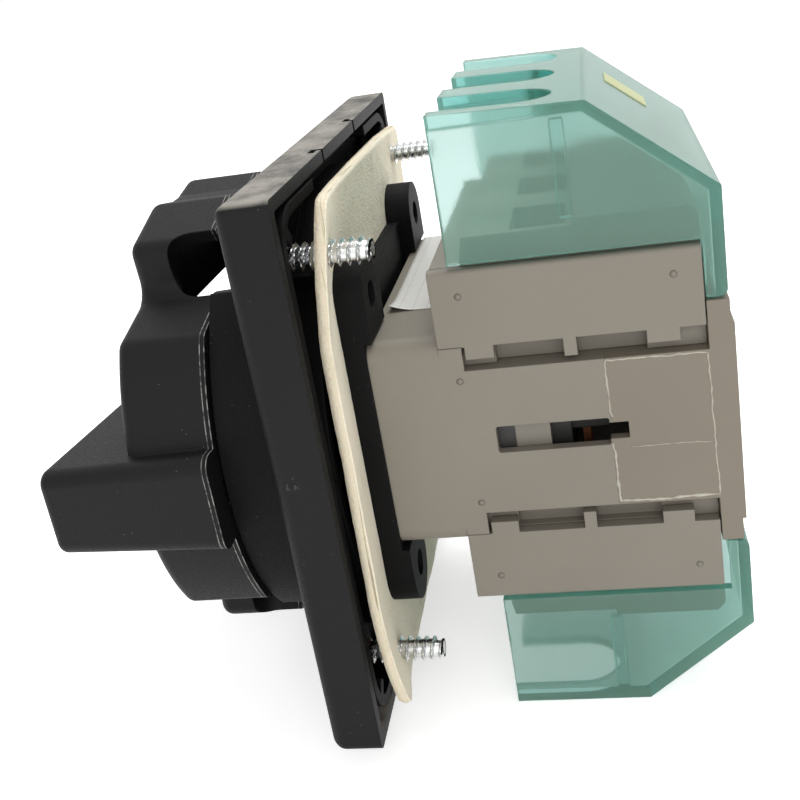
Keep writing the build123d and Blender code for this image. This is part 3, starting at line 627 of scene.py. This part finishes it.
def wobble(kind, a, b, depth=1.0):
    """Smooth noise at a point, of one kind of unevenness."""
    amount, scale, layer = kind
    return amount * noise.noise(Vector((a * scale, b * scale, depth * layer)))


def circle(sides):
    """The points of a unit circle."""
    angles = [2 * math.pi * side / sides for side in range(sides)]
    return [(math.cos(angle), math.sin(angle)) for angle in angles]


def tube(faces, base, rings, sides):
    """Joins rings of vertices, which start at base, by quads."""
    for ring in range(rings - 1):
        first = base + ring * sides
        for side in range(sides):
            a, b = first + side, first + (side + 1) % sides
            faces.append((a, b, b + sides, a + sides))


def border(count_i, count_j):
    """The places (i, j) round the edge of a grid of cells, in order."""
    there = [(0, j) for j in range(count_j)] + [(i, count_j) for i in range(count_i)]
    return there + [(count_i - i, count_j - j) for i, j in there]


def gasket_lift(x, z):
    """How far the sheet has lifted off the plate at a point of its own square, in millimetres."""
    out_x = max(0.0, abs(x) - GASKET_FLAT) / (GASKET_HALF - GASKET_FLAT)
    flat = GASKET_FLAT - GASKET_NARROWER * min(out_x, 1.0)
    out_z = max(0.0, abs(z) - flat) / (GASKET_HALF - flat)
    side = NEAR_LIFT if x > 0 else FAR_LIFT
    if z > 0:
        side *= 1 - TOP_CORNER_EASE * out_z
    middle, slope, bend = TOP_LIFT if z > 0 else LOW_LIFT
    edge = max(middle + slope * x, LEAST_LIFT)
    wave = wobble(GASKET_WAVE, x, z)
    return side * out_x ** SIDE_BEND + edge * out_z ** bend + wave * max(out_x, out_z)


def gasket_outline(u, v):
    """A point of the unit square (-1..1) moved onto the sheet, whose corners are rounded."""
    x, z = u * GASKET_HALF, v * GASKET_HALF
    inner = GASKET_HALF - GASKET_CORNER
    over_x, over_z = abs(x) - inner, abs(z) - inner
    if over_x > 0 and over_z > 0:
        longest = max(over_x, over_z)
        scale = longest / math.hypot(over_x, over_z)
        x = math.copysign(inner + over_x * scale, x)
        z = math.copysign(inner + over_z * scale, z)
    return x, z


def foam_gasket():
    """The bowed foam sheet: two skins joined round a slightly pinched, uneven cut edge."""
    turn = math.radians(GASKET_TURN)
    count = GASKET_CELLS
    vertices, faces = [], []

    def add(u, v, depth, inset):
        x, z = gasket_outline(u, v)
        ragged = wobble(GASKET_RAGGED, x, z, depth)
        at_edge = max(abs(u), abs(v)) > 0.999
        shrink = 1 - (inset - ragged if at_edge else 0.0) / GASKET_HALF
        y = GASKET_GAP + gasket_lift(x, z) + depth * GASKET_T
        y += wobble(GASKET_UNEVEN, x, z, depth)
        px, pz = x * shrink, z * shrink
        vertices.append(mm(px * math.cos(turn) - pz * math.sin(turn), y,
                           px * math.sin(turn) + pz * math.cos(turn)))
        return len(vertices) - 1

    steps = [2 * i / count - 1 for i in range(count + 1)]
    skins = []
    for depth in (0.0, 1.0):
        grid = [[add(u, v, depth, GASKET_PINCH) for u in steps] for v in steps]
        skins.append(grid)
        for i in range(count):
            for j in range(count):
                faces.append((grid[i][j], grid[i][j + 1], grid[i + 1][j + 1], grid[i + 1][j]))
    ring = border(count, count)
    middle = [add(steps[j], steps[i], 0.5, 0.0) for i, j in ring]
    for k, (i0, j0) in enumerate(ring):
        following = (k + 1) % len(ring)
        i1, j1 = ring[following]
        for grid in skins:
            faces.append((grid[i0][j0], grid[i1][j1], middle[following], middle[k]))
    piece = new_piece("foam_gasket", vertices, faces, "foam", "switch", replaces="panel_gasket")


def thread_radius(phase, y, tip):
    """Radius of a coarse thread: sharp crest, wide flat root, and a short blunt taper."""
    near = abs((phase % 1.0) - 0.5)
    rise = max(0.0, 1 - near / THREAD_FLANK)
    taper = min(1.0, THREAD_TIP + (1 - THREAD_TIP) * max(0.0, tip - y) / THREAD_TAPER)
    return (THREAD_ROOT + (THREAD_CREST - THREAD_ROOT) * rise) * taper


def screw_mesh(x, z, start, tip, vertices, faces):
    """One panel screw: its thread's rows follow the helix, so the crest stays sharp."""
    rows = (math.ceil((tip - start) / THREAD_PITCH) + 2) * THREAD_ROWS
    base = len(vertices)
    for row in range(rows + 1):
        turns = row / THREAD_ROWS
        y = min(max(start - THREAD_PITCH + turns * THREAD_PITCH, start), tip)
        for side, (across, up) in enumerate(circle(THREAD_SIDES)):
            r = thread_radius(turns - side / THREAD_SIDES, y, tip)
            vertices.append(mm(x + r * across, y, z + r * up))
    tube(faces, base, rows + 1, THREAD_SIDES)
    for end, y in ((0, start), (rows, tip)):
        vertices.append(mm(x, y, z))
        first = base + end * THREAD_SIDES
        for side in range(THREAD_SIDES):
            faces.append((first + side, first + (side + 1) % THREAD_SIDES, len(vertices) - 1))
    head = len(vertices)
    profile = ((0.0, start), (SCREW_HEAD, start), (SCREW_HEAD, start + SCREW_HEAD_RIM),
               (THREAD_ROOT, start + SCREW_HEAD_T), (0.0, start + SCREW_HEAD_T))
    for r, y in profile:
        vertices += [mm(x + r * across, y, z + r * up) for across, up in circle(THREAD_SIDES)]
    tube(faces, head, len(profile), THREAD_SIDES)


def panel_screws():
    low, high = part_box("panel_screws")
    start, tip = low.y / MM, high.y / MM
    vertices, faces = [], []
    for sx in (-1, 1):
        for sz in (-1, 1):
            screw_mesh(sx * SCREW_PITCH / 2, sz * SCREW_PITCH / 2, start, tip, vertices, faces)
    new_piece("threaded_panel_screws", vertices, faces, "zinc", "switch", smooth=False,
              replaces="panel_screws")


def rating_label():
    """Paper label on the body's top, its near front corner curled up."""
    low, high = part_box("rating_label")
    count_x, count_y = LABEL_CELLS
    reach_x, reach_y = LABEL_CURL_REACH
    vertices, faces = [], []
    for layer in (0.0, 1.0):
        for i in range(count_x + 1):
            for j in range(count_y + 1):
                x = low.x + (high.x - low.x) * i / count_x
                y = low.y + (high.y - low.y) * j / count_y
                reach = (x - high.x + reach_x) / reach_x + (low.y + reach_y - y) / reach_y
                curl = max(0.0, reach - LABEL_CURL_START)
                z = low.z + LABEL_GAP + LABEL_CURL * curl * curl + layer * LABEL_T
                vertices.append(Vector((x, y, z)))
    row = count_y + 1
    layer_size = (count_x + 1) * row
    for i in range(count_x):
        for j in range(count_y):
            a = i * row + j
            faces.append((a, a + 1, a + row + 1, a + row))
            faces.append(tuple(k + layer_size for k in (a, a + row, a + row + 1, a + 1)))
    edge = [i * row + j for i, j in border(count_x, count_y)]
    for k, a in enumerate(edge):
        b = edge[(k + 1) % len(edge)]
        faces.append((a, b, b + layer_size, a + layer_size))
    new_piece("label_sheet", vertices, faces, "label", "switch", replaces="rating_label")


def ejector_pips():
    """Small domed marks on the body's sides."""
    vertices, faces = [], []
    for sign in (-1, 1):
        for y, z in PIPS:
            base = len(vertices)
            for r, rise in PIP_PROFILE:
                x = sign * (SIDE_X + PIP_RISE * rise)
                vertices += [mm(x, y + r * across, z + r * up) for across, up in circle(PIP_SIDES)]
            tube(faces, base, len(PIP_PROFILE), PIP_SIDES)
            faces.append(tuple(base + side for side in range(PIP_SIDES)))
    new_piece("ejector_pips", vertices, faces, "grey_plastic", "switch")


def seam_bead(name, half_width, line):
    """A fine uneven bead of flash along a joint of the housing, on the near side."""
    points = []
    for (y0, z0), (y1, z1) in zip(line, line[1:]):
        count = max(1, round(math.hypot(y1 - y0, z1 - z0) / SEAM_STEP))
        points += [(y0 + (y1 - y0) * k / count, z0 + (z1 - z0) * k / count)
                   for k in range(count)]
    points.append(line[-1])
    vertices, faces = [], []
    for k, (y, z) in enumerate(points):
        before, after = points[max(k - 1, 0)], points[min(k + 1, len(points) - 1)]
        along = Vector((after[0] - before[0], after[1] - before[1])).normalized()
        wander = wobble(SEAM_WANDER, y, z)
        width = half_width * (1 + wobble(SEAM_UNEVEN, y, z))
        for side, rise in SEAM_PROFILE:
            offset = side * width + wander
            vertices.append(mm(SIDE_X + rise, y - along.y * offset, z + along.x * offset))
    sides = len(SEAM_PROFILE)
    tube(faces, 0, len(points), sides)
    for first in (0, sides * (len(points) - 1)):
        faces.append(tuple(first + side for side in range(sides)))
    piece = new_piece(name, vertices, faces, "grey_plastic", "switch")
    piece.data.materials[0] = FINISHES["flash"]


def level_by_ray(tree, unseen, seen, target):
    """Sets a strength to seen for camera, glossy and transmission rays, and else to unseen."""
    path = tree.nodes.new("ShaderNodeLightPath")
    value = path.outputs["Is Camera Ray"]
    for kind in ("Is Transmission Ray", "Is Glossy Ray"):
        either = tree.nodes.new("ShaderNodeMath")
        either.operation = "MAXIMUM"
        tree.links.new(value, either.inputs[0])
        tree.links.new(path.outputs[kind], either.inputs[1])
        value = either.outputs["Value"]
    level = tree.nodes.new("ShaderNodeMapRange")
    level.inputs["To Min"].default_value = unseen
    level.inputs["To Max"].default_value = seen
    tree.links.new(value, level.inputs["Value"])
    tree.links.new(level.outputs["Result"], target)


def floor():
    """Pale floor under the object, which shows a soft shadow."""
    half = FLOOR_SIZE / 2
    z = CAD_LOW.z / MM - FLOOR_GAP
    corners = ((-half, -half), (half, -half), (half, half), (-half, half))
    mesh = bpy.data.meshes.new("floor")
    mesh.from_pydata([mm(x, y, z) for x, y in corners], [], [(0, 1, 2, 3)])
    piece = new_object("floor", mesh)
    s = Shader("floor")
    s.set(Roughness=0.9, Specular_IOR_Level=0.1, Emission_Color=(*WHITE, 1))
    s.drive(Base_Color=s.mix(s.noise(FLOOR_MOTTLE), *FLOOR_TONES))
    level_by_ray(s.material.node_tree, FLOOR_GLOW_ON_OBJECT, FLOOR_GLOW,
                 s.bsdf.inputs["Emission Strength"])
    mesh.materials.append(s.material)


def world():
    """Pale surroundings: white where a camera, glossy or transmission ray sees them."""
    w = bpy.data.worlds.new("studio")
    bpy.context.scene.world = w
    w.use_nodes = True
    background = w.node_tree.nodes["Background"]
    background.inputs["Color"].default_value = (*WHITE, 1)
    level_by_ray(w.node_tree, WORLD_LEVEL, 1.0, background.inputs["Strength"])


def lamp(name, place, size, power):
    data = bpy.data.lights.new(name, "AREA")
    data.shape = "SQUARE"
    data.size = size * MM
    data.energy = power
    obj = new_object(name, data)
    obj.location = mm(*place)
    obj.rotation_euler = (-mm(*place)).to_track_quat("-Z", "Y").to_euler()


def camera():
    data = bpy.data.cameras.new("camera")
    data.sensor_width = SENSOR
    data.lens = LENS
    data.shift_x = SHIFT_X
    data.shift_y = SHIFT_Y
    data.clip_start = NEAREST_SEEN
    obj = new_object("camera", data)
    axes = Matrix((CAMERA_RIGHT, CAMERA_UP, [-v for v in CAMERA_FORWARD])).transposed()
    obj.matrix_world = Matrix.Translation(mm(*CAMERA_AT)) @ axes.to_4x4()
    bpy.context.scene.camera = obj


dress_nodes()
foam_gasket()
panel_screws()
rating_label()
ejector_pips()
for seam, (half_width, line) in SEAMS.items():
    seam_bead(seam, half_width, line)
floor()
world()
lamp("key", KEY_AT, KEY_SIZE, KEY_POWER)
lamp("fill", FILL_AT, FILL_SIZE, FILL_POWER)
camera()
bpy.context.scene.view_settings.view_transform = "Standard"
